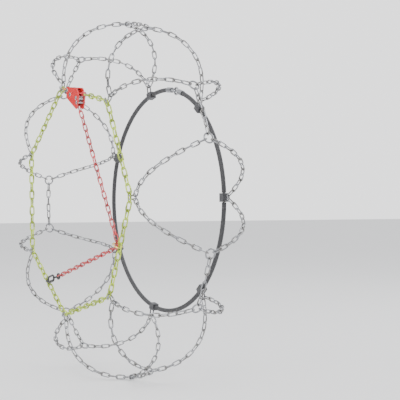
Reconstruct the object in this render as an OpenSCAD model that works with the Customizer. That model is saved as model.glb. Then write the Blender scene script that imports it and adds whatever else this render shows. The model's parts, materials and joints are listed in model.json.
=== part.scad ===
// Snow chain net for one car wheel, in the shape it takes on the tyre.
// The origin is the wheel's centre, the axle runs along Y and the wheel's outer face looks along -Y.

/* [Wheel] */
// Tread radius of the wheel that the net sits on
tread_r = 317; // [312:1:322]
// Half width of the net over the sidewalls
flank_half_w = 94; // [92:0.5:96]

/* [Cross chain] */
// Pitch of the cross chain, the inner length of a link less its slack
pitch = 14.4; // [14.2:0.1:14.6]
// Wire diameter of the cross chain
wire = 2.3; // [2.1:0.1:2.4]
// Width of the slot inside a link
slot = 4.3; // [4.2:0.1:4.5]

/* [Tread rings] */
// Outer diameter of a tread ring
ring_od = 20; // [19.5:0.1:21]
// Wire diameter of a tread ring
ring_wire = 3; // [2.8:0.1:3.2]

/* [Side chain] */
// Pitch of the painted side chain
side_pitch = 15.3; // [15.2:0.05:15.4]
// Wire diameter of the side chain
side_wire = 2.8; // [2.6:0.1:2.9]
// Width of the slot inside a side chain link
side_slot = 5; // [4.9:0.1:5.2]

/* [Inner hoop] */
// Diameter of the steel cable
cable_d = 5.2; // [4.6:0.1:5.3]
// Outer diameter of the tube over the cable
cable_tube_d = 8; // [7.4:0.1:9]

/* [Lock] */
// Sheet thickness of the lock's two plates
plate_t = 2; // [1.5:0.1:2.5]
// Clear distance between the lock's plates
plate_gap = 10.4; // [10.2:0.1:11]

/* [Hidden] */
segments = 7;
tie_links = 6;

arc_fn = 48;
wire_fn = 24;
segment_turn = 360/segments;
first_turn = 1.5;                       // turn of the first side chain corner above +X
slack = 0.7;                            // play between two links of the cross chain
side_slack = 0.8;                       // play between two links of the side chain
link_stand = (slot + 2*wire)/2 + 0.5;   // height of the chain's centre line above the rubber
axis_r = tread_r + link_stand;          // radius of the cross chain's centre line on the tread

// Colours
bright_steel = "silver";
side_paint = "yellowgreen";
lock_paint = "red";
dark_metal = "dimgray";
gilt = "goldenrod";

// ---- Side chain ----
side_links = 11;                        // links in each straight stretch between two corner links
straight_half = side_links*side_pitch/2;
corner_r = side_corner_r(190, 240, 30);
corner_turn = asin(side_pitch/2/corner_r);
corner_link_r = corner_r*cos(corner_turn);
straight_r = sqrt(corner_r*corner_r - straight_half*straight_half);
side_bar = (side_slot + side_wire)/2;   // distance from a side link's centre line to its bars

// The corner radius at which the corner link and the straight stretch just fill one segment
function side_corner_r(low, high, tries) = let (r = (low + high)/2)
    tries == 0 ? r :
    asin(side_pitch/2/r) + asin(straight_half/r) > segment_turn/2
        ? side_corner_r(r, high, tries - 1) : side_corner_r(low, r, tries - 1);
function corner(k) = first_turn + k*segment_turn;
function middle(k) = first_turn + (k + 0.5)*segment_turn;
function round_wheel(r, y, turn) = [r*cos(turn), y, r*sin(turn)];
function unit(v) = v/norm(v);

// ---- Route of a cross chain, from a tread ring's centre down to a side hook ----
ring_r = (ring_od - ring_wire)/2;
ring_grip = ring_r - ring_wire/2 - slack/2;     // from a ring's centre to the first link's grip
tie_turn = 2*asin(pitch/2/axis_r);
grip_turn = 2*asin(ring_grip/2/axis_r);
ring_turn = (segment_turn - tie_links*tie_turn)/2 - grip_turn;
hook_wire = 2.4;
hook_claw_r = 3.2;
hook_loop_r = 5.6;                              // radius of the loop that holds two cross chains
hook_prong_x = 2.8;
hook_grip_r = corner_link_r + 14.2;             // radius at which the cross chains hang in the hook
hook_grip_x = 2.5;
hook_loop_z = hook_grip_r - 3.05;
widest_r = 0.768*axis_r;                        // radius at which the sidewall is widest
flank_power = 2.1;                              // 2 gives a round shoulder, more a squarer one
flank_rise = axis_r - widest_r;
flank_end = -asin(pow((widest_r - hook_grip_r)/flank_rise, flank_power/2));
lean_power = 2.9;                               // a taut chain leans over more where the radius is small
steps = 60;

function flank(a) = [widest_r + flank_rise*sign(sin(a))*pow(abs(sin(a)), 2/flank_power),
                     -flank_half_w*pow(abs(cos(a)), 2/flank_power)];
flank_pts = [for (i = [0:steps]) flank(90 + (flank_end - 90)*i/steps)];
function flank_step(i) = norm(flank_pts[i] - flank_pts[i - 1]);
lean = [for (i = 0, s = 0; i <= steps;
             s = s + (i < steps ? flank_step(i + 1)/pow(flank_pts[i + 1][0]/axis_r, lean_power) : 0),
             i = i + 1) s];
hook_turn = asin(hook_grip_x/hook_grip_r);
function route_turn(i) = hook_turn + (ring_turn - hook_turn)*(1 - lean[i]/lean[steps]);
route = [for (i = [0:steps]) round_wheel(flank_pts[i][0], flank_pts[i][1], route_turn(i))];
run = [for (i = 0, s = 0; i <= steps; s = s + (i < steps ? norm(route[i + 1] - route[i]) : 0), i = i + 1) s];
cross_links = round((run[steps] - ring_grip)/pitch);
r_table = [for (i = [0:steps]) [run[i], flank_pts[i][0]]];
y_table = [for (i = [0:steps]) [run[i], flank_pts[i][1]]];
turn_table = [for (i = [0:steps]) [run[i], route_turn(i)]];
function run_at(i) = ring_grip + i*(run[steps] - ring_grip)/cross_links;
hook_y = flank_pts[steps][1];
side_y = hook_y - hook_claw_r;                  // plane of the side chain and of the tension chain

// ---- Tension chain: flat links and edge links take turns ----
// A flat link turns about its end arcs' centres, which are flat_reach apart.
link_l = pitch + slack;
flat_reach = link_l - slot;
edge_over = slot - slack;               // how far an edge link's arc centre lies past that turning point
lock_span = 1;
guide_span = 6;
hook_span = 4;
entry_x = straight_half - 5*side_pitch;         // where the tension chain hangs in the side chain
entry_link_x = entry_x - pitch/2;
edge_span = flat_reach + 2*edge_over;
turn_start = [entry_link_x - flat_reach/2 - edge_span, 0];
turn_slope = 66;
turn_end = turn_start - flat_reach*[cos(turn_slope), sin(turn_slope)];
guide_wire = 3;
guide_slot = 10;
guide_gap = 0.5;
guide_outer_n = -0.7;
tension_guide_n = -11.75;
guide_inner_n = tension_guide_n - slot/2 - wire - guide_wire/2 - guide_gap;
hook_reach = 48;                                // from the end hook's eye to its claw
end_claw_r = 5;
end_wire = 3.6;

// A point on segment k's straight stretch: x runs back towards corner k, n is outwards
function on_span(k, x, n) = let (a = middle(k))
    (straight_r + n)*[cos(a), 0, sin(a)] + x*[sin(a), 0, -cos(a)] + [0, side_y, 0];
pull_start = on_span(lock_span, turn_end[0], turn_end[1]);
pull_guide_in = on_span(guide_span, -flat_reach/2, tension_guide_n);
pull_guide_out = on_span(guide_span, flat_reach/2, tension_guide_n);
claw_point = on_span(hook_span, 0, -0.4);
tail_dir = unit(claw_point - pull_guide_out);
eye_point = claw_point - hook_reach*tail_dir;

// ---- Lock: x and n as on its straight stretch, pins run along Y ----
side_l = side_pitch + side_slack;
anchor_d = 3.6;
anchor = [-straight_half + 2*side_pitch + side_slack/2 - anchor_d/2 - 0.35, 0];
exit_d = 3.5;
exit_pin = turn_end + [16.3, -6.6];
roller_d = 11;
roller_w = 9.6;
roller_core_d = 8;
roller_groove = 3.6;
roller_at = turn_start + [7.25, -9.1];
pin_d = 4;
running = 0.3;                          // a moving part's bore over its pin
pawl_at = turn_start + [-18.05, -6];
pawl_y = -3.6;
pawl_w = 5;
head_d = 7;
head_t = 1.2;
plate_near = plate_gap/2;
plate_outline = [[anchor[0], 1, 5], [roller_at[0] - 4.3, 4, 5], [roller_at[0] + 5.7, -6, 4],
                 [exit_pin[0] - 1, -24, 4.5], [pawl_at[0] - 10, -10, 5]];

// ---- Inner hoop ----
hoop_r = 206;
hoop_y = -side_y;
closure_half = 5.6;                     // half the angle between the cable's two ends
ferrule_d = 10;
ferrule_l = 15;
closure_wire = 3.6;
sleeve_d = 12;
sleeve_l = 15;

// ==== Shared shapes ====

// One welded link: its long axis is X and it lies flat in XY
module link(l, w, d) {
    straight = l - w;
    for (e = [0, 1]) mirror([e, 0, 0]) translate([straight/2, 0, 0]) half_ring((w + d)/2, d);
    for (e = [-1, 1])
        translate([-straight/2, e*(w + d)/2, 0]) rotate([0, 90, 0])
            cylinder(d = d, h = straight, $fn = wire_fn);
}

// Half a ring of wire in XY that bulges to +X
module half_ring(r, d) {
    rotate([0, 0, -90]) rotate_extrude(angle = 180, $fn = arc_fn)
        translate([r, 0]) circle(d = d, $fn = wire_fn);
}

// Straight bar from p to q
module bar(p, q, d) {
    v = q - p;
    translate(p) rotate([0, acos(v[2]/norm(v)), atan2(v[1], v[0])])
        cylinder(d = d, h = norm(v), $fn = wire_fn);
}

// Straight wire from p to q with a rounded end at q
module wire_rod(p, q, d) {
    bar(p, q, d);
    translate(q) sphere(d = d, $fn = wire_fn);
}

// Lays a shape midway between p and q, X along pq and Z towards up, then rolls it about pq
module lie(p, q, up, roll) {
    x = unit(q - p);
    z = unit(up - (up*x)*x);
    y = cross(z, x);
    m = (p + q)/2;
    multmatrix([[x[0], y[0], z[0], m[0]], [x[1], y[1], z[1], m[1]], [x[2], y[2], z[2], m[2]], [0, 0, 0, 1]])
        rotate([roll, 0, 0]) children();
}

// Local frame of a turn on the wheel: Z outwards, X back along the turn, Y along the axle
module at(turn) rotate([0, 90 - turn, 0]) children();

// Frame of a straight stretch, on the side chain's centre line
module on_stretch(k) at(middle(k)) translate([0, side_y, straight_r]) children();

module chain_link() link(link_l, slot, wire);
module side_link() link(side_l, side_slot, side_wire);

// An arc of round bar about the axle
module hoop_arc(r, d, start, sweep)
    translate([0, hoop_y, 0]) rotate([90, 0, 0]) rotate([0, 0, start])
        rotate_extrude(angle = sweep, $fn = 180) translate([r, 0]) circle(d = d, $fn = wire_fn);

// Roll from one link to the next so that the first and the last of n links both stand upright
function roll_step(n) = 90 + (n%2 == 0 ? 90/(n - 1) : 0);

// ==== Side chain: corner link k and the straight stretch after it ====
module side_chain(k) {
    color(side_paint) {
        at(corner(k)) translate([0, side_y, corner_link_r]) rotate([90, 0, 0]) side_link();
        on_stretch(k) for (j = [1:side_links])
            if (k != lock_span || j <= 5 || j >= side_links - 1)
                translate([straight_half - (j - 0.5)*side_pitch, 0, 0])
                    rotate([j%2 == 0 ? 90 : 0, 0, 0]) side_link();
    }
}

// ==== Cross chains: two lie in a V between one side hook and two tread rings ====
function strand_point(s, side) = let (r = lookup(s, r_table), a = lookup(s, turn_table))
    [side*r*sin(a), lookup(s, y_table), r*cos(a)];
function strand_up(s, side) = let (dr = lookup(s + 2, r_table) - lookup(s - 2, r_table),
    dy = lookup(s + 2, y_table) - lookup(s - 2, y_table), a = lookup(s, turn_table))
    [-dy*side*sin(a), dr, -dy*cos(a)];

module cross_chains(k) {
    color(bright_steel) at(corner(k)) for (side = [-1, 1]) for (i = [0:cross_links - 1])
        lie(strand_point(run_at(i), side), strand_point(run_at(i + 1), side),
            strand_up((run_at(i) + run_at(i + 1))/2, side), side*(90 + i*roll_step(cross_links)))
            chain_link();
}

// ==== Tie chain along the tread, from the ring after corner k to the ring before the next ====
function tie_point(k, i) = round_wheel(axis_r, 0, corner(k) + ring_turn + grip_turn + i*tie_turn);

module tie_chain(k) {
    color(bright_steel) for (i = [0:tie_links - 1])
        lie(tie_point(k, i), tie_point(k, i + 1),
            round_wheel(1, 0, corner(k) + ring_turn + grip_turn + (i + 0.5)*tie_turn),
            90 + i*roll_step(tie_links))
            chain_link();
}

// Ring 2k + 1 comes before corner k and ring 2k + 2 after it
module tread_ring(i) {
    k = floor((i - 1)/2);
    color(bright_steel) at(corner(k) + (i%2 == 1 ? -1 : 1)*ring_turn) translate([0, 0, axis_r])
        rotate_extrude($fn = arc_fn) translate([ring_r, 0]) circle(d = ring_wire, $fn = wire_fn);
}

// ==== Side hooks: a loop over two cross chains and two prongs round the corner link ====
module hook_arch() {
    translate([0, 0, hook_loop_z]) rotate([90, 0, 0]) rotate([0, 0, 90]) half_ring(hook_loop_r, hook_wire);
    for (e = [-1, 1]) translate([e*hook_loop_r, 0, hook_loop_z]) sphere(d = hook_wire, $fn = wire_fn);
}

module side_hooks() {
    color(bright_steel) for (k = [0:segments - 1]) at(corner(k)) {
        translate([0, hook_y, 0]) {
            hook_arch();
            for (e = [-1, 1])
                wire_rod([e*hook_loop_r, 0, hook_loop_z], [e*hook_prong_x, 0, corner_link_r + side_bar],
                         hook_wire);
        }
        for (e = [-1, 1]) translate([e*hook_prong_x, side_y, corner_link_r + side_bar]) {
            rotate([0, 90, 0]) half_ring(hook_claw_r, hook_wire);
            wire_rod([0, -hook_claw_r, 0], [0, -hook_claw_r, 3], hook_wire);
        }
    }
}

// ==== Inner hoop: a steel cable in tubes that hooks shut behind the wheel ====
module cable_clamps() {
    top = hoop_r + sleeve_d/2;
    color(dark_metal) for (k = [0:segments - 1]) at(corner(k)) {
        difference() {
            translate([-sleeve_l/2, hoop_y - sleeve_d/2, hoop_r - sleeve_d/2])
                cube([sleeve_l, sleeve_d, sleeve_d]);
            translate([-sleeve_l, hoop_y, hoop_r]) rotate([0, 90, 0])
                cylinder(d = cable_d + running, h = 2*sleeve_l, $fn = arc_fn);
        }
        translate([0, -hook_y, hook_loop_z]) rotate([90, 0, 0]) rotate([0, 0, 90])
            half_ring(hook_loop_r, hook_wire);
        for (e = [-1, 1]) translate([e*hook_loop_r, -hook_y, top - 1])
            cylinder(d = hook_wire, h = hook_loop_z - top + 1, $fn = wire_fn);
    }
}

module inner_cable() {
    color(bright_steel) hoop_arc(hoop_r, cable_d, middle(lock_span) + closure_half, 360 - 2*closure_half);
}

module cable_tube(start, sweep) {
    difference() {
        hoop_arc(hoop_r, cable_tube_d, start, sweep);
        hoop_arc(hoop_r, cable_d + 2*running, start - 1, sweep + 2);
    }
}

module cable_tubes() {
    clear = asin((sleeve_l/2 + 1)/hoop_r);
    near_end = closure_half + asin((ferrule_l/2 + 1)/hoop_r);
    color("gray") {
        for (k = [0:segments - 1]) if (k != lock_span) cable_tube(corner(k) + clear, segment_turn - 2*clear);
        cable_tube(corner(lock_span) + clear, segment_turn/2 - clear - near_end);
        cable_tube(middle(lock_span) + near_end, segment_turn/2 - clear - near_end);
    }
}

// Crimped sleeve over one end of the cable; e = 1 lies before the closure's middle
module ferrule(e) {
    at(middle(lock_span) - e*closure_half) translate([0, hoop_y, hoop_r]) rotate([0, -e*90, 0]) difference() {
        translate([0, 0, -ferrule_l/2]) cylinder(d = ferrule_d, h = ferrule_l, $fn = arc_fn);
        translate([0, 0, -ferrule_l]) cylinder(d = cable_d + running, h = ferrule_l + 1, $fn = arc_fn);
    }
}

module cable_eye_end() {
    color(bright_steel) {
        ferrule(1);
        at(middle(lock_span)) translate([0, hoop_y, hoop_r]) {
            translate([3, 0, 0]) rotate([90, 0, 0]) rotate_extrude($fn = arc_fn)
                translate([6, 0]) circle(d = closure_wire, $fn = wire_fn);
            wire_rod([14, 0, -0.4], [9, 0, 0], closure_wire);
        }
    }
}

module cable_hook_end() {
    color(bright_steel) {
        ferrule(-1);
        at(middle(lock_span)) translate([0, hoop_y, hoop_r]) {
            wire_rod([-13.5, 0, -0.4], [-9, 4, 0], closure_wire);
            wire_rod([-9, 4, 0], [-3, 4, 0], closure_wire);
            translate([-3, 0, 0]) half_ring(4, closure_wire);
            wire_rod([-3, -4, 0], [-7, -4, 0], closure_wire);
        }
    }
}

// ==== Lock ====
// A flat shape drawn in x and n, given a thickness along Y from y on
module lock_sheet(y, t) translate([0, y + t, 0]) rotate([90, 0, 0]) linear_extrude(height = t) children();

// A bar along Y through a point of the lock
module lock_bar(p, d, y, l)
    translate([p[0], y + l, p[1]]) rotate([90, 0, 0]) cylinder(d = d, h = l, $fn = arc_fn);

module lock_plate(y) {
    difference() {
        lock_sheet(y, plate_t) hull() for (c = plate_outline)
            translate([c[0], c[1]]) circle(r = c[2], $fn = arc_fn);
        for (p = [[anchor, anchor_d], [exit_pin, exit_d], [roller_at, pin_d], [pawl_at, pin_d]])
            lock_bar(p[0], p[1] + 0.2, y - 1, plate_t + 2);
    }
}

module lock_front_plate() {
    rise = atan2(3, roller_at[0] - 4.3 - anchor[0]);
    color(lock_paint) on_stretch(lock_span) {
        lock_plate(-plate_near - plate_t);
        translate([(anchor[0] + roller_at[0] - 4.3)/2, 0, 2.5]) rotate([0, -rise, 0])
            translate([-13, -plate_near - plate_t/2, 2.7]) cube([26, plate_gap + plate_t/2 - 0.3, 2]);
    }
}

module lock_back_plate() color(lock_paint) on_stretch(lock_span) lock_plate(plate_near);

module headed_pin(p, d) {
    reach = plate_near + plate_t + 0.1;
    lock_bar(p, d, -reach, 2*reach);
    for (y = [-reach - head_t, reach]) lock_bar(p, head_d, y, head_t);
}

module lock_rivets() {
    color(dark_metal) on_stretch(lock_span) {
        headed_pin(anchor, anchor_d);
        headed_pin(exit_pin, exit_d);
    }
}

module roller_pin() color(dark_metal) on_stretch(lock_span) headed_pin(roller_at, pin_d);
module pawl_pin() color(dark_metal) on_stretch(lock_span) headed_pin(pawl_at, pin_d);

module lock_roller() {
    color(bright_steel) on_stretch(lock_span) difference() {
        union() {
            lock_bar(roller_at, roller_core_d, -roller_w/2, roller_w);
            for (y = [-roller_w/2, roller_groove/2])
                lock_bar(roller_at, roller_d, y, (roller_w - roller_groove)/2);
        }
        lock_bar(roller_at, pin_d + running, -roller_w, 2*roller_w);
    }
}

module lock_pawl() {
    color(dark_metal) on_stretch(lock_span) difference() {
        union() {
            lock_sheet(pawl_y, pawl_w) translate(pawl_at) hull() {
                circle(r = 4, $fn = arc_fn);
                translate([9.8, 2.4]) circle(r = 0.9, $fn = wire_fn);
            }
            lock_sheet(pawl_y, pawl_w) translate(pawl_at) hull() {
                circle(r = 3.4, $fn = arc_fn);
                translate([-9, -11]) circle(r = 2.2, $fn = wire_fn);
            }
            lock_bar(pawl_at, 8.4, pawl_y, pawl_w);
        }
        lock_bar(pawl_at, pin_d + running, pawl_y - 1, pawl_w + 2);
    }
}

module pawl_spring() {
    color(bright_steel) on_stretch(lock_span) translate([pawl_at[0], 0, pawl_at[1]]) {
        translate([0, 3, 0]) rotate([90, 0, 0])
            rotate_extrude($fn = arc_fn) translate([3.2, 0]) circle(d = 1.2, $fn = wire_fn);
        bar([1, 3, -3], [7.5, 3, -1.2], 1);
        bar([-1, 3, 3], [-8, 3, 3.6], 1);
    }
}

// ==== Tension chain: from the side chain through the lock, round the guide, to the end hook ====
function leg_edges(a, b) = round((norm(b - a) + flat_reach)/2/(flat_reach + edge_over));
function leg_over(a, b) = let (m = leg_edges(a, b)) (norm(b - a) - (2*m - 1)*flat_reach)/2/m;

// Chain from a to b that starts and ends with an edge link
module leg(a, b) {
    u = unit(b - a);
    m = leg_edges(a, b);
    edge = flat_reach + 2*leg_over(a, b);
    for (i = [0:m - 1]) {
        p = a + i*(edge + flat_reach)*u;
        lie(p, p + edge*u, [0, 1, 0], 90) chain_link();
        if (i < m - 1) lie(p + edge*u, p + (edge + flat_reach)*u, [0, 1, 0], 0) chain_link();
    }
}

module tension_chain_upper() {
    color(lock_paint) {
        on_stretch(lock_span) {
            translate([entry_link_x, 0, 0]) rotate([90, 0, 0]) chain_link();
            translate([turn_start[0] + edge_span/2, 0, 0]) chain_link();
        }
        lie(on_span(lock_span, turn_start[0], turn_start[1]), pull_start, [0, 1, 0], 0) chain_link();
        leg(pull_start, pull_guide_in);
    }
}

module tension_chain_lower() {
    color(lock_paint) {
        lie(pull_guide_in, pull_guide_out, [0, 1, 0], 0) chain_link();
        leg(pull_guide_out, eye_point);
    }
}

module guide_ring() {
    color(gilt) on_stretch(guide_span) translate([0, 0, (guide_outer_n + guide_inner_n)/2])
        rotate([0, 90, 0]) link(guide_outer_n - guide_inner_n - guide_wire, guide_slot, guide_wire);
}

// X runs from the eye to the claw and -Z is the side one sees
module end_hook() {
    color(dark_metal) lie(eye_point, claw_point, [0, 1, 0], 0) translate([-hook_reach/2, 0, 0]) {
        rotate_extrude($fn = arc_fn) translate([4.6, 0]) circle(d = end_wire, $fn = wire_fn);
        bar([4.2, 0, 0], [10.6, 0, -end_claw_r], end_wire - 0.3);
        translate([23, 0, -end_claw_r]) link(22, 7, end_wire);
        bar([35.8, 0, -end_claw_r], [hook_reach - end_claw_r, 0, -end_claw_r], end_wire);
        translate([hook_reach - end_claw_r, 0, 0]) rotate([90, 0, 0]) half_ring(end_claw_r, end_wire);
        wire_rod([hook_reach - end_claw_r, 0, end_claw_r], [hook_reach - end_claw_r - 5, 0, end_claw_r],
                 end_wire);
    }
}

// ==== Assembly ====
for (k = [1:segments]) side_chain(k - 1);
for (k = [1:segments]) cross_chains(k - 1);
for (k = [1:segments]) mirror([0, 1, 0]) cross_chains(k - 1);
for (k = [1:segments]) tie_chain(k - 1);
for (i = [1:2*segments]) tread_ring(i);
side_hooks();
cable_clamps();
inner_cable();
cable_tubes();
cable_hook_end();
cable_eye_end();
lock_front_plate();
lock_back_plate();
lock_rivets();
lock_roller();
roller_pin();
lock_pawl();
pawl_pin();
pawl_spring();
tension_chain_upper();
tension_chain_lower();
guide_ring();
end_hook();
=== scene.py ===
import json
import math
import random

import bmesh
import bpy
import numpy as np
from bpy.props import FloatProperty, FloatVectorProperty, IntProperty, PointerProperty
from mathutils import Matrix, Vector

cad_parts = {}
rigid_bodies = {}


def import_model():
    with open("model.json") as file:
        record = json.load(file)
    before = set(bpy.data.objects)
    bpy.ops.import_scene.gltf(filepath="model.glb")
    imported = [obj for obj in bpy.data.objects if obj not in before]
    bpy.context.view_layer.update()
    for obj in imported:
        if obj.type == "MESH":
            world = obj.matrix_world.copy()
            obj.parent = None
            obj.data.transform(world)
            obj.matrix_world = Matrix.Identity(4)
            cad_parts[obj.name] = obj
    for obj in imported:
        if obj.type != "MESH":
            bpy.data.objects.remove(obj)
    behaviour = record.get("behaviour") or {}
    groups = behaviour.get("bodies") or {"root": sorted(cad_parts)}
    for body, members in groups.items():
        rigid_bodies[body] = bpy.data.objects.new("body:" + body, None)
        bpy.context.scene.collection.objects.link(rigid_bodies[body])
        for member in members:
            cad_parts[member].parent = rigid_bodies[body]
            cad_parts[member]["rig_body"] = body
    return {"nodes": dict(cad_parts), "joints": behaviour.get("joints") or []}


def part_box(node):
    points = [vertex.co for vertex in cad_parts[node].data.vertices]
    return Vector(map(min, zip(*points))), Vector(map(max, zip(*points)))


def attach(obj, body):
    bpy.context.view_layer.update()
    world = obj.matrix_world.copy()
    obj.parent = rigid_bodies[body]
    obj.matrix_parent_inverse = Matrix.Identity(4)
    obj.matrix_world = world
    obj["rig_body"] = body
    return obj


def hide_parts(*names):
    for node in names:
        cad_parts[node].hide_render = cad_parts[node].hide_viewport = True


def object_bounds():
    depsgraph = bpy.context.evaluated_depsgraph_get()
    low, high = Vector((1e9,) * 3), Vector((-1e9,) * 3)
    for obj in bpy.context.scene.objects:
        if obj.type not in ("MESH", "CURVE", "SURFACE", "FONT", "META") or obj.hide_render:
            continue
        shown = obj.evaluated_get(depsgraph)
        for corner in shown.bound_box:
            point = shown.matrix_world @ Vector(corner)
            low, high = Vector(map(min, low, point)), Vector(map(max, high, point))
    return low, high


bl_info = {
    "name": "Snow Chain Net",
    "version": (1, 0, 0),
    "blender": (4, 5, 0),
    "location": "3D View > Sidebar > Snow Net",
    "description": "Welded links, rings, lock and cable hoop of a snow chain net, with their finishes",
    "category": "Object",
}

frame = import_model()
CAD_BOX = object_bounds()
NODES = frame["nodes"]
JOINTS = {j["name"]: j for j in frame["joints"]}
SEGMENTS = 7              # side chain runs, which is also the number of side hooks
WELD_STEPS = (0.36, 0.08, 0.12, 0.08, 0.36)   # cuts along the welded bar; the three short ones are the weld
LINK_WELD_SWELL = 1.1
RING_WELD_SWELL = 1.08
SHARP_ANGLE = math.radians(38)
ANCHOR_REACH = 0.024      # links this near the lock's anchor have the second paint
ANCHOR_PAST_PAWL = 0.036  # from the pawl's pivot to the middle of those links


# ---- Shader arithmetic ----

def plug(tree, socket, value):
    """Links a wrapped socket, or sets a plain value."""
    if isinstance(value, Value):
        tree.links.new(value.socket, socket)
    else:
        socket.default_value = value


class Value:
    """A socket that takes part in ordinary arithmetic."""

    def __init__(self, finish, socket):
        self.finish = finish
        self.socket = socket

    def calc(self, operation, a, b=0.0):
        return self.finish.node("ShaderNodeMath", {"operation": operation}, {0: a, 1: b})

    def __add__(self, other):
        return self.calc("ADD", self, other)

    __radd__ = __add__

    def __sub__(self, other):
        return self.calc("SUBTRACT", self, other)

    def __rsub__(self, other):
        return self.calc("SUBTRACT", other, self)

    def __mul__(self, other):
        return self.calc("MULTIPLY", self, other)

    __rmul__ = __mul__

    def __pow__(self, other):
        return self.calc("POWER", self, other)

    def sin(self):
        return self.calc("SINE", self)

    def arctan2(self, other):
        return self.calc("ARCTAN2", self, other)


class Finish:
    """A material under construction."""

    def __init__(self, name):
        self.material = bpy.data.materials.new(name)
        self.material.use_nodes = True
        self.tree = self.material.node_tree
        self.shader = self.tree.nodes["Principled BSDF"]

    def node(self, kind, settings, values, output=0):
        made = self.tree.nodes.new(kind)
        for key, setting in settings.items():
            if key == "stops":
                ramp = made.color_ramp
                while len(ramp.elements) < len(setting):
                    ramp.elements.new(0.5)
                for element, (place, level) in zip(ramp.elements, setting):
                    element.position = place
                    element.color = (level, level, level, 1.0)
            else:
                setattr(made, key, setting)
        for key, value in values.items():
            plug(self.tree, made.inputs[key], value)
        return Value(self, made.outputs[output])

    def place(self):
        return self.node("ShaderNodeTexCoord", {}, {}, "Object")

    def axes(self, place):
        split = {}
        for axis in ("X", "Y", "Z"):
            split[axis] = self.node("ShaderNodeSeparateXYZ", {}, {0: place}, axis)
        return split["X"], split["Y"], split["Z"]

    def noise(self, scale, detail=3.0, roughness=0.5):
        return self.node("ShaderNodeTexNoise", {}, {"Vector": self.place(), "Scale": scale, "Detail": detail,
                                                    "Roughness": roughness}, "Fac")

    def mark(self, name):
        return self.node("ShaderNodeAttribute", {"attribute_name": name}, {}, "Fac")

    def ramp(self, value, low, high):
        return self.node("ShaderNodeValToRGB", {"stops": [(low, 0.0), (high, 1.0)]}, {"Fac": value})

    def blend(self, factor, first, second):
        return self.node("ShaderNodeMix", {"data_type": "RGBA"}, {0: factor, 6: first, 7: second}, 2)

    def bump(self, height, strength, distance):
        return self.node("ShaderNodeBump", {}, {"Strength": strength, "Distance": distance, "Height": height})

    def set(self, **values):
        for name, value in values.items():
            plug(self.tree, self.shader.inputs[name.replace("_", " ").title()], value)
        return self.material


def rgb(colour, gain=1.0):
    return tuple(min(1.0, c * gain) for c in colour[:3]) + (1.0,)


# ---- Finishes ----

def zinc(name, colour, rough):
    """Zinc-plated wire: mottled plate, polished where links rub, grey and rough at the weld."""
    f = Finish(name)
    rub, weld, tone = f.mark("rub"), f.mark("weld"), f.mark("tone")
    mottle = f.noise(240.0, 4.0, 0.6)
    fine = f.noise(1900.0, 2.0)
    plate = f.blend(f.ramp(mottle, 0.3, 0.72), rgb(colour, 0.84), rgb(colour, 1.1))
    plate = f.blend(f.ramp(tone * 0.55 + mottle * 0.25, 0.25, 0.8), plate, rgb(colour, 0.86))
    polished = f.ramp(rub + (fine - 0.5) * 0.4, 0.42, 0.85)
    base = f.blend(polished, plate, rgb((0.82, 0.82, 0.84)))
    burnt = f.ramp(weld + (mottle - 0.5) * 0.4, 0.3, 0.9)
    base = f.blend(burnt, base, rgb((0.26, 0.255, 0.25)))
    height = mottle * 0.5 + fine * 0.2 + burnt * fine * 1.2
    return f.set(base_color=base, metallic=1.0,
                 roughness=rough + mottle * 0.12 - polished * 0.12 + burnt * 0.16,
                 normal=f.bump(height, 0.22, 0.0002))


def link_paint(name, colour, second, rough=0.32):
    """Paint over a welded link, rubbed through where links meet."""
    f = Finish(name)
    rub, weld, tone, tint = f.mark("rub"), f.mark("weld"), f.mark("tone"), f.mark("tint")
    mottle = f.noise(210.0, 4.0, 0.6)
    fine = f.noise(1500.0, 3.0)
    paint = f.blend(f.ramp(mottle * 0.6 + tone * 0.4, 0.25, 0.75), rgb(colour, 0.72), rgb(colour, 1.15))
    paint = f.blend(tint, paint, rgb(second))
    paint = f.blend(f.ramp(weld + (fine - 0.5) * 0.6, 0.45, 0.9) * 0.7, paint, rgb(colour, 0.35))
    bare = f.ramp(rub + (fine - 0.5) * 0.7 + (mottle - 0.5) * 0.4, 0.62, 0.78)
    # Painted shade where links meet: the paint darkens towards a shaded copy of itself (colour x 0.3) in the
    # crevice between interlocked links, along with some dirt that also roughens it.
    dirt_and_shade = f.ramp(rub * 0.6 + (mottle - 0.5) * 0.6, 0.25, 0.6) * 0.35
    paint = f.blend(dirt_and_shade, paint, rgb(colour, 0.3))
    base = f.blend(bare, paint, rgb((0.62, 0.62, 0.63)))
    height = fine * 0.3 + mottle * 0.5 - bare * 0.8
    return f.set(base_color=base, metallic=bare, roughness=rough + mottle * 0.15 + dirt_and_shade * 0.3,
                 coat_weight=0.35 - bare * 0.35, normal=f.bump(height, 0.4, 0.0002))


def panel_paint(name, colour):
    """Gloss paint on pressed plate, with orange peel, scuffs and chips along the bevels."""
    f = Finish(name)
    edge = f.mark("edge")
    peel = f.noise(900.0, 2.0)
    cloud = f.noise(120.0, 4.0, 0.6)
    fleck = f.noise(1300.0, 3.0, 0.65)
    chips = f.ramp(edge * 0.5 + (fleck - 0.5) * 0.9, 0.42, 0.5)
    paint = f.blend(f.ramp(cloud, 0.3, 0.7), rgb(colour, 0.8), rgb(colour, 1.1))
    scuff = f.ramp(f.noise(420.0, 5.0, 0.75), 0.6, 0.72) * 0.3
    paint = f.blend(scuff, paint, rgb((0.85, 0.45, 0.4)))
    base = f.blend(chips, paint, rgb((0.5, 0.5, 0.51)))
    return f.set(base_color=base, metallic=chips, roughness=0.24 + cloud * 0.12 + scuff * 0.5,
                 coat_weight=0.5 - chips * 0.5,
                 normal=f.bump(peel * 0.5 - chips * 1.2, 0.3, 0.00018))


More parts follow.
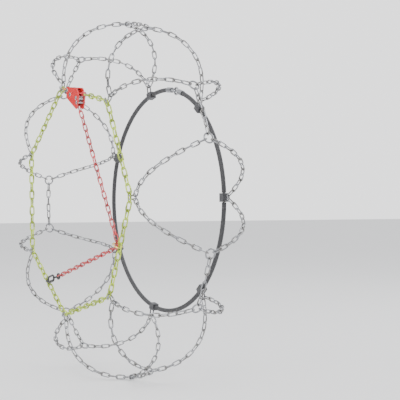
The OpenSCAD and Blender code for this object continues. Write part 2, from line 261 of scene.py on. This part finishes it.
def black_coat(name, colour):
    """Black coated steel, scuffed grey where it rubs."""
    f = Finish(name)
    cloud = f.noise(160.0, 4.0, 0.6)
    fine = f.noise(1700.0, 3.0)
    scuff = f.ramp(cloud * 0.5 + fine * 0.5 + f.mark("edge") * 0.2, 0.56, 0.68)
    base = f.blend(scuff, rgb(colour), rgb((0.34, 0.34, 0.35)))
    return f.set(base_color=base, metallic=scuff * 0.8, roughness=0.42 + cloud * 0.16 - scuff * 0.1,
                 normal=f.bump(fine * 0.5 + cloud * 0.4, 0.35, 0.0002))


def gilt_plate(name, colour):
    """Yellow passivated zinc with its faint green and violet bloom."""
    f = Finish(name)
    cloud = f.noise(170.0, 3.0, 0.55)
    fine = f.noise(1500.0, 2.0)
    base = f.blend(f.ramp(cloud, 0.35, 0.6), rgb(colour), rgb((0.78, 0.66, 0.30)))
    base = f.blend(f.ramp(cloud, 0.56, 0.75) * 0.5, base, rgb((0.62, 0.40, 0.36)))
    base = f.blend(f.ramp(fine, 0.6, 0.75) * 0.4, base, rgb((0.45, 0.52, 0.24)))
    return f.set(base_color=base, metallic=1.0, roughness=0.26 + cloud * 0.14,
                 normal=f.bump(fine, 0.25, 0.0002))


def wire_rope(name, colour, hoop_r, hoop_y):
    """Laid wires that wind round the hoop, with grease between them."""
    f = Finish(name)
    x, y, z = f.axes(f.place())
    round_axle = z.arctan2(x)
    reach = (x * x + z * z) ** 0.5
    round_rope = (y - hoop_y).arctan2(reach - hoop_r)
    strand = (round_rope * 6.0 + round_axle * 240.0).sin() * 0.5 + 0.5
    wires = (round_rope * 19.0 - round_axle * 420.0).sin() * 0.5 + 0.5
    grease = 1.0 - f.ramp(strand, 0.05, 0.4)
    base = f.blend(grease, rgb(colour, 1.1), rgb((0.10, 0.10, 0.10)))
    return f.set(base_color=base, metallic=1.0, roughness=0.34 + grease * 0.2,
                 normal=f.bump(strand + wires * 0.2, 0.9, 0.0004))


def hose(name, colour):
    """Extruded black tube with faint length lines and dull scuffs."""
    f = Finish(name)
    x, y, z = f.axes(f.place())
    reach = (x * x + z * z) ** 0.5
    lines = ((reach + y) * 9000.0).sin() * 0.5 + 0.5
    cloud = f.noise(70.0, 4.0, 0.6)
    scuff = f.ramp(f.noise(260.0, 5.0, 0.75), 0.56, 0.72)
    base = f.blend(scuff * 0.5, rgb(colour), rgb((0.22, 0.22, 0.225)))
    return f.set(base_color=base, roughness=0.48 + cloud * 0.16 + scuff * 0.1,
                 normal=f.bump(lines * 0.25 + scuff * 0.4 + cloud * 0.3, 0.3, 0.0002))


def floor_finish(colour):
    f = Finish("pale_floor")
    soft = f.noise(1.6, 2.0)
    base = f.blend(soft, rgb(colour, 0.97), rgb(colour))
    return f.set(base_color=base, roughness=0.6)


# ---- Shapes ----

def finish_object(name, bm, materials):
    mesh = bpy.data.meshes.new(name)
    bm.to_mesh(mesh)
    bm.free()
    for polygon in mesh.polygons:
        polygon.use_smooth = True
    for material in materials:
        mesh.materials.append(material)
    made = bpy.data.objects.new(name, mesh)
    bpy.context.scene.collection.objects.link(made)
    return made


def soft_subdivision(obj, levels=1):
    modifier = obj.modifiers.new("Rounding", "SUBSURF")
    modifier.levels = levels
    modifier.render_levels = levels


def stand_in(obj, node):
    """obj shows in place of a CAD node and moves with its body."""
    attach(obj, NODES[node]["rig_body"])
    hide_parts(node)


def loose_solids(node):
    """The vertices of each separate solid in a CAD node, one array each."""
    mesh = NODES[node].data
    points = np.zeros(len(mesh.vertices) * 3)
    mesh.vertices.foreach_get("co", points)
    points = points.reshape(-1, 3)
    mesh.calc_loop_triangles()
    triangles = np.zeros(len(mesh.loop_triangles) * 3, int)
    mesh.loop_triangles.foreach_get("vertices", triangles)
    unique, index = np.unique(np.round(points, 6), axis=0, return_inverse=True)
    corners = index.ravel()[triangles].reshape(-1, 3)
    label = np.arange(len(unique))
    while True:
        low = label[corners].min(axis=1)
        fresh = label.copy()
        for column in range(3):
            np.minimum.at(fresh, corners[:, column], low)
        fresh = fresh[fresh]
        if np.array_equal(fresh, label):
            break
        label = fresh
    return [unique[label == one] for one in np.unique(label)]


def own_frame(points):
    """(matrix, extents): a solid's own axes, longest first, and its size along each."""
    spread = points - points.mean(axis=0)
    values, vectors = np.linalg.eigh(spread.T @ spread)
    order = np.argsort(values)[::-1]
    axes = vectors[:, order]
    if np.linalg.det(axes) < 0:
        axes[:, 2] *= -1
    along = points @ axes
    centre = axes @ ((along.max(axis=0) + along.min(axis=0)) / 2)
    matrix = Matrix.Identity(4)
    for row in range(3):
        for column in range(3):
            matrix[row][column] = axes[row, column]
        matrix[row][3] = centre[row]
    return matrix, along.max(axis=0) - along.min(axis=0)


def ring_of(geom):
    return [e for e in geom if isinstance(e, bmesh.types.BMEdge)]


def link_shape(extents, sides, bend_steps):
    """One welded link flat in XY: two straights and two bends, thicker at its weld."""
    wire = extents[2]
    bar = (extents[1] - wire) / 2
    straight = extents[0] - extents[1]
    swell = 1.0 + 0.42 / sides
    bm = bmesh.new()
    rub = bm.verts.layers.float.new("rub")
    weld = bm.verts.layers.float.new("weld")
    start = Matrix.Translation((-straight / 2, -bar, 0)) @ Matrix.Rotation(math.pi / 2, 4, "Y")
    bmesh.ops.create_circle(bm, segments=sides, radius=wire / 2 * swell, matrix=start)
    edges = bm.edges[:]
    for end in (1, -1):
        cuts = WELD_STEPS if end < 0 else (0.5, 0.5)
        for step, part in enumerate(cuts):
            made = bmesh.ops.extrude_edge_only(bm, edges=edges)["geom"]
            edges = ring_of(made)
            verts = [v for v in made if isinstance(v, bmesh.types.BMVert)]
            bmesh.ops.translate(bm, verts=verts, vec=(end * straight * part, 0, 0))
            if end < 0 and step in (1, 2):
                middle = sum((v.co for v in verts), Vector()) / len(verts)
                bmesh.ops.scale(bm, verts=verts, vec=(1, LINK_WELD_SWELL, LINK_WELD_SWELL),
                                space=Matrix.Translation(-middle))
                for v in verts:
                    v[weld] = 1.0
        made = bmesh.ops.spin(bm, geom=edges, cent=(end * straight / 2, 0, 0), axis=(0, 0, 1),
                              angle=math.pi, steps=bend_steps)["geom_last"]
        edges = ring_of(made)
    bmesh.ops.remove_doubles(bm, verts=bm.verts[:], dist=wire * 0.02)
    bmesh.ops.recalc_face_normals(bm, faces=bm.faces[:])
    for v in bm.verts:
        past = abs(v.co.x) - straight / 2
        reach = math.hypot(max(past, 0.0), v.co.y)
        inside = max(0.0, 1.0 - (reach - bar + wire / 2) / (wire * 0.75))
        v[rub] = min(1.0, inside) * min(1.0, max(0.0, past / (bar * 0.5)))
    mesh = bpy.data.meshes.new("link")
    bm.to_mesh(mesh)
    bm.free()
    return mesh


def build_links(node, name, material, seed, tinted=()):
    """Puts a link shape in the place of every solid of a chain node."""
    rng = random.Random(seed)
    bm = bmesh.new()
    tone = bm.verts.layers.float.new("tone")
    tint = bm.verts.layers.float.new("tint")
    template = None
    for number, points in enumerate(loose_solids(node)):
        matrix, extents = own_frame(points)
        if template is None:
            template = link_shape(extents, 6, 5)
        flip = (Matrix.Rotation(math.pi * rng.randint(0, 1), 4, "X")
                @ Matrix.Rotation(math.pi * rng.randint(0, 1), 4, "Z"))
        before = len(bm.verts)
        bm.from_mesh(template)
        bm.verts.ensure_lookup_table()
        fresh = bm.verts[before:]
        bmesh.ops.transform(bm, matrix=matrix @ flip, verts=fresh)
        shade = rng.random()
        marked = 1.0 if any((matrix.translation - spot).length < reach for spot, reach in tinted) else 0.0
        for v in fresh:
            v[tone] = shade
            v[tint] = marked
    bpy.data.meshes.remove(template)
    made = finish_object(name, bm, [material])
    soft_subdivision(made)
    stand_in(made, node)
    return made


def build_ring(node, name, material, seed):
    """A tread ring bent from wire, with its butt weld."""
    rng = random.Random(seed)
    points = loose_solids(node)[0]
    matrix, extents = own_frame(points)
    wire = extents[2]
    radius = (extents[0] - wire) / 2
    sides = 8
    bm = bmesh.new()
    weld = bm.verts.layers.float.new("weld")
    tone = bm.verts.layers.float.new("tone")
    start = Matrix.Translation((radius, 0, 0)) @ Matrix.Rotation(math.pi / 2, 4, "X")
    bmesh.ops.create_circle(bm, segments=sides, radius=wire / 2 * 1.05, matrix=start)
    bmesh.ops.spin(bm, geom=bm.edges[:], cent=(0, 0, 0), axis=(0, 0, 1), angle=2 * math.pi, steps=36,
                   use_merge=True)
    bmesh.ops.remove_doubles(bm, verts=bm.verts[:], dist=wire * 0.02)
    bmesh.ops.recalc_face_normals(bm, faces=bm.faces[:])
    shade = rng.random()
    for v in bm.verts:
        away = abs(math.atan2(v.co.y, v.co.x))
        v[tone] = shade
        if away < 0.13:
            v[weld] = 1.0
            centre = Vector((radius * math.cos(away), radius * math.sin(away) * (1 if v.co.y > 0 else -1), 0))
            v.co = centre + (v.co - centre) * RING_WELD_SWELL
    turn = Matrix.Rotation(rng.random() * 2 * math.pi, 4, "Z")
    bmesh.ops.transform(bm, matrix=matrix @ turn, verts=bm.verts[:])
    made = finish_object(name, bm, [material])
    soft_subdivision(made)
    stand_in(made, node)
    return made


def soften(node, name, material, width, segments=2):
    """A copy of a CAD node with its sharp edges rolled over; the bevels are marked for wear."""
    bm = bmesh.new()
    bm.from_mesh(NODES[node].data)
    bmesh.ops.remove_doubles(bm, verts=bm.verts[:], dist=0.000004)
    bmesh.ops.dissolve_limit(bm, angle_limit=math.radians(1.0), verts=bm.verts[:], edges=bm.edges[:])
    edge_mark = bm.verts.layers.float.new("edge")
    sharp = [e for e in bm.edges if len(e.link_faces) == 2 and e.calc_face_angle(0) > SHARP_ANGLE]
    rolled = bmesh.ops.bevel(bm, geom=sharp, offset=width, offset_type="OFFSET", segments=segments,
                             profile=0.5, affect="EDGES", clamp_overlap=True, material=-1)
    bevels = set(rolled["faces"])
    for v in rolled["verts"]:
        if all(face in bevels for face in v.link_faces):
            v[edge_mark] = 1.0
    made = finish_object(name, bm, [material])
    made.modifiers.new("Even shading", "WEIGHTED_NORMAL").keep_sharp = True
    stand_in(made, node)
    return made


def repaint(node, material):
    """Gives a CAD node whose shape is right its finish."""
    mesh = NODES[node].data
    mesh.materials.clear()
    mesh.materials.append(material)
    for polygon in mesh.polygons:
        polygon.use_smooth = True


# ---- Settings ----

class SNOWNET_PG_finishes(bpy.types.PropertyGroup):
    side_colour: FloatVectorProperty(
        name="Side chain", description="Paint of the side chain",
        subtype="COLOR", size=3, min=0, max=1, default=(0.50, 0.66, 0.02))
    anchor_colour: FloatVectorProperty(
        name="Anchor links", description="Paint of the links at the lock's anchor",
        subtype="COLOR", size=3, min=0, max=1, default=(0.72, 0.20, 0.03))
    pull_colour: FloatVectorProperty(
        name="Tension chain", description="Paint of the tension chain",
        subtype="COLOR", size=3, min=0, max=1, default=(0.64, 0.022, 0.03))
    lock_colour: FloatVectorProperty(
        name="Lock", description="Paint of the lock's plates",
        subtype="COLOR", size=3, min=0, max=1, default=(0.70, 0.018, 0.02))
    zinc_colour: FloatVectorProperty(
        name="Zinc plate", description="Colour of the plated links",
        subtype="COLOR", size=3, min=0, max=1, default=(0.34, 0.345, 0.36))
    zinc_rough: FloatProperty(name="Zinc roughness", description="Roughness of the plate", default=0.24,
                              min=0.05, max=0.9, subtype="FACTOR")


class SNOWNET_PG_stage(bpy.types.PropertyGroup):
    azimuth: FloatProperty(name="Azimuth", description="Turn of the camera round the wheel", subtype="ANGLE",
                           default=math.radians(62.3))
    elevation: FloatProperty(
        name="Elevation", description="Height of the camera above the horizon",
        subtype="ANGLE", default=math.radians(0.16))
    distance: FloatProperty(
        name="Distance", description="From the wheel's centre to the camera",
        subtype="DISTANCE", unit="LENGTH", default=2.164, min=0.5, max=10)
    lens: FloatProperty(
        name="Lens", description="Focal length on a 36 mm sensor",
        default=106.0, min=20, max=300)
    shift: FloatProperty(name="Shift", description="Sideways shift of the view", default=0.199, min=-1, max=1)
    light: FloatProperty(
        name="Light", description="Brightness of the studio lights",
        default=1.0, min=0.1, max=5)


class SNOWNET_PG_sizes(bpy.types.PropertyGroup):
    plate_bevel: FloatProperty(
        name="Plate bevel", description="Rolled edge of the lock's plates",
        subtype="DISTANCE", unit="LENGTH", default=0.0006, min=0.0001, max=0.001)
    seed: IntProperty(name="Seed", description="Changes how the links differ", default=7, min=0)


# ---- Operators ----

def finishes():
    return bpy.context.scene.snownet_finishes


class SNOWNET_OT_cross_chains(bpy.types.Operator):
    """Welded links of the cross chains and of the ties along the tread"""
    bl_idname = "snownet.cross_chains"
    bl_label = "Cross chains"

    def execute(self, context):
        f = finishes()
        plate = zinc("zinc_links", f.zinc_colour, f.zinc_rough)
        seed = context.scene.snownet_sizes.seed
        for k in range(1, SEGMENTS + 1):
            build_links(f"outer_cross_chains_{k}", f"outer_cross_links_{k}", plate, seed + k)
            build_links(f"inner_cross_chains_{k}", f"inner_cross_links_{k}", plate,
                        seed + 20 + k)
            build_links(f"tie_chain_{k}", f"tie_links_{k}", plate, seed + 40 + k)
        return {"FINISHED"}


class SNOWNET_OT_tread_rings(bpy.types.Operator):
    """Welded rings that join three chains on the tread"""
    bl_idname = "snownet.tread_rings"
    bl_label = "Tread rings"

    def execute(self, context):
        f = finishes()
        plate = zinc("zinc_rings", f.zinc_colour, f.zinc_rough - 0.02)
        seed = context.scene.snownet_sizes.seed
        for k in range(1, 2 * SEGMENTS + 1):
            build_ring(f"tread_ring_{k}", f"welded_ring_{k}", plate, seed + 60 + k)
        return {"FINISHED"}


class SNOWNET_OT_side_chain(bpy.types.Operator):
    """Painted side chain round the outer wall"""
    bl_idname = "snownet.side_chain"
    bl_label = "Side chain"

    def execute(self, context):
        f = finishes()
        paint = link_paint("side_link_paint", f.side_colour, f.anchor_colour)
        seed = context.scene.snownet_sizes.seed
        pivot = Vector(JOINTS["pawl_release"]["pos_m"])
        roller = Vector(JOINTS["roller_turn"]["pos_m"])
        back = (pivot - roller).normalized()
        spot = pivot + back * ANCHOR_PAST_PAWL
        for k in range(1, SEGMENTS + 1):
            build_links(f"side_chain_{k}", f"side_links_{k}", paint, seed + 80 + k,
                        tinted=[(spot, ANCHOR_REACH)] if k == 2 else ())
        return {"FINISHED"}


class SNOWNET_OT_tension_chain(bpy.types.Operator):
    """Red chain that pulls the net tight"""
    bl_idname = "snownet.tension_chain"
    bl_label = "Tension chain"

    def execute(self, context):
        f = finishes()
        paint = link_paint("tension_link_paint", f.pull_colour, f.pull_colour, 0.28)
        seed = context.scene.snownet_sizes.seed
        for number, part in enumerate(("upper", "lower")):
            build_links(f"tension_chain_{part}", f"tension_links_{part}", paint,
                        seed + 100 + number)
        return {"FINISHED"}


class SNOWNET_OT_hooks(bpy.types.Operator):
    """Side hooks, guide ring and end hook"""
    bl_idname = "snownet.hooks"
    bl_label = "Hooks and guide"

    def execute(self, context):
        f = finishes()
        repaint("side_hooks", zinc("zinc_hooks", f.zinc_colour, f.zinc_rough - 0.04))
        repaint("guide_ring", gilt_plate("gilt_guide", (0.72, 0.47, 0.12)))
        repaint("end_hook", black_coat("black_hook", (0.025, 0.025, 0.027)))
        return {"FINISHED"}


class SNOWNET_OT_lock(bpy.types.Operator):
    """Lock plates, pins, roller, pawl and spring"""
    bl_idname = "snownet.lock"
    bl_label = "Lock"

    def execute(self, context):
        f = finishes()
        bevel = context.scene.snownet_sizes.plate_bevel
        paint = panel_paint("lock_panel_paint", f.lock_colour)
        pins = zinc("pin_plate", (0.56, 0.56, 0.57), 0.22)
        coat = black_coat("pawl_coat", (0.04, 0.04, 0.043))
        soften("lock_front_plate", "lock_cheek_front", paint, bevel)
        soften("lock_back_plate", "lock_cheek_back", paint, bevel)
        soften("lock_rivets", "domed_rivets", pins, 0.0007, 3)
        soften("roller_pin", "domed_roller_pin", pins, 0.0007, 3)
        soften("pawl_pin", "domed_pawl_pin", pins, 0.0007, 3)
        soften("lock_roller", "grooved_roller", pins, 0.0003)
        soften("lock_pawl", "pawl_lever", coat, 0.0004)
        repaint("pawl_spring", pins)
        return {"FINISHED"}


class SNOWNET_OT_inner_hoop(bpy.types.Operator):
    """Cable hoop behind the wheel with its tubes, clamps and closure"""
    bl_idname = "snownet.inner_hoop"
    bl_label = "Inner hoop"

    def execute(self, context):
        low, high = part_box("inner_cable")
        hoop_y = (low.y + high.y) / 2
        hoop_r = (high.x - low.x - (high.y - low.y)) / 2
        f = finishes()
        repaint("inner_cable", wire_rope("laid_wire", (0.55, 0.56, 0.57), hoop_r, hoop_y))
        repaint("cable_tubes", hose("hoop_tube", (0.035, 0.035, 0.038)))
        repaint("cable_clamps", black_coat("clamp_coat", (0.05, 0.05, 0.055)))
        ends = zinc("closure_plate", f.zinc_colour, f.zinc_rough)
        repaint("cable_hook_end", ends)
        repaint("cable_eye_end", ends)
        return {"FINISHED"}


class SNOWNET_OT_stage(bpy.types.Operator):
    """Floor, studio lights and camera"""
    bl_idname = "snownet.stage"
    bl_label = "Stage"

    def area(self, name, place, aim, size, watts, colour=(1.0, 1.0, 1.0)):
        lamp = bpy.data.lights.new(name, "AREA")
        lamp.shape = "RECTANGLE"
        lamp.size, lamp.size_y = size
        lamp.energy = watts
        lamp.color = colour
        made = bpy.data.objects.new(name, lamp)
        made.location = place
        made.rotation_euler = (Vector(aim) - Vector(place)).to_track_quat("-Z", "Y").to_euler()
        bpy.context.scene.collection.objects.link(made)

    def execute(self, context):
        s = context.scene.snownet_stage
        bm = bmesh.new()
        bmesh.ops.create_grid(bm, x_segments=1, y_segments=1, size=12.0,
                              matrix=Matrix.Translation((0, 0, CAD_BOX[0].z - 0.0005)))
        floor = finish_object("floor", bm, [floor_finish((0.86, 0.86, 0.86))])
        world = bpy.data.worlds.new("studio")
        context.scene.world = world
        world.use_nodes = True
        tree = world.node_tree
        back = tree.nodes["Background"]
        place = tree.nodes.new("ShaderNodeTexCoord")
        split = tree.nodes.new("ShaderNodeSeparateXYZ")
        ramp = tree.nodes.new("ShaderNodeValToRGB")
        ramp.color_ramp.elements[0].position = 0.1
        ramp.color_ramp.elements[0].color = (0.10, 0.105, 0.115, 1)
        ramp.color_ramp.elements[1].position = 0.6
        ramp.color_ramp.elements[1].color = (2.6, 2.62, 2.68, 1)
        backdrop = tree.nodes.new("ShaderNodeMix")
        backdrop.data_type = "RGBA"
        backdrop.inputs[7].default_value = (3.2, 3.21, 3.24, 1)
        ray = tree.nodes.new("ShaderNodeLightPath")
        tree.links.new(place.outputs["Generated"], split.inputs[0])
        tree.links.new(split.outputs["Z"], ramp.inputs["Fac"])
        tree.links.new(ray.outputs["Is Camera Ray"], backdrop.inputs[0])
        tree.links.new(ramp.outputs["Color"], backdrop.inputs[6])
        tree.links.new(backdrop.outputs[2], back.inputs["Color"])
        back.inputs["Strength"].default_value = 0.62 * s.light
        self.area("key", (1.9, -1.7, 1.9), (0, 0, 0), (1.2, 1.2), 60 * s.light)
        self.area("fill", (-1.6, -2.2, 0.9), (0, 0, 0), (1.6, 1.2), 26 * s.light)
        self.area("back_light", (0.4, 2.4, 1.6), (0, 0, 0.1), (1.6, 1.0), 40 * s.light)
        camera_data = bpy.data.cameras.new("camera")
        camera_data.lens = s.lens
        camera_data.sensor_width = 36.0
        camera_data.shift_x = s.shift
        camera_data.shift_y = 0.001
        camera_data.clip_start = 0.05
        camera = bpy.data.objects.new("camera", camera_data)
        flat = math.cos(s.elevation)
        camera.location = Vector((math.sin(s.azimuth) * flat, -math.cos(s.azimuth) * flat,
                                  math.sin(s.elevation))) * s.distance
        camera.rotation_euler = (math.pi / 2 - s.elevation, 0, s.azimuth)
        context.scene.collection.objects.link(camera)
        context.scene.camera = camera
        return {"FINISHED"}


class SNOWNET_PT_panel(bpy.types.Panel):
    """Pieces of the snow chain net"""
    bl_idname = "SNOWNET_PT_panel"
    bl_label = "Snow Chain Net"
    bl_space_type = "VIEW_3D"
    bl_region_type = "UI"
    bl_category = "Snow Net"

    def draw(self, context):
        scene = context.scene
        for group in (scene.snownet_finishes, scene.snownet_sizes, scene.snownet_stage):
            column = self.layout.column()
            for key in group.__annotations__:
                column.prop(group, key)
        for operator in OPERATORS:
            self.layout.operator(operator.bl_idname)


GROUPS = {
    "snownet_finishes": SNOWNET_PG_finishes,
    "snownet_sizes": SNOWNET_PG_sizes,
    "snownet_stage": SNOWNET_PG_stage,
}
OPERATORS = (
    SNOWNET_OT_stage,
    SNOWNET_OT_cross_chains,
    SNOWNET_OT_tread_rings,
    SNOWNET_OT_side_chain,
    SNOWNET_OT_tension_chain,
    SNOWNET_OT_hooks,
    SNOWNET_OT_lock,
    SNOWNET_OT_inner_hoop,
)


def register():
    for made in (*GROUPS.values(), *OPERATORS, SNOWNET_PT_panel):
        bpy.utils.register_class(made)
    for name, group in GROUPS.items():
        setattr(bpy.types.Scene, name, PointerProperty(type=group))


def unregister():
    for name in GROUPS:
        delattr(bpy.types.Scene, name)
    for made in (SNOWNET_PT_panel, *reversed(OPERATORS), *GROUPS.values()):
        bpy.utils.unregister_class(made)


def main():
    register()
    bpy.ops.snownet.stage()
    bpy.ops.snownet.cross_chains()
    bpy.ops.snownet.tread_rings()
    bpy.ops.snownet.side_chain()
    bpy.ops.snownet.tension_chain()
    bpy.ops.snownet.hooks()
    bpy.ops.snownet.lock()
    bpy.ops.snownet.inner_hoop()


if __name__ == "__main__":
    main()
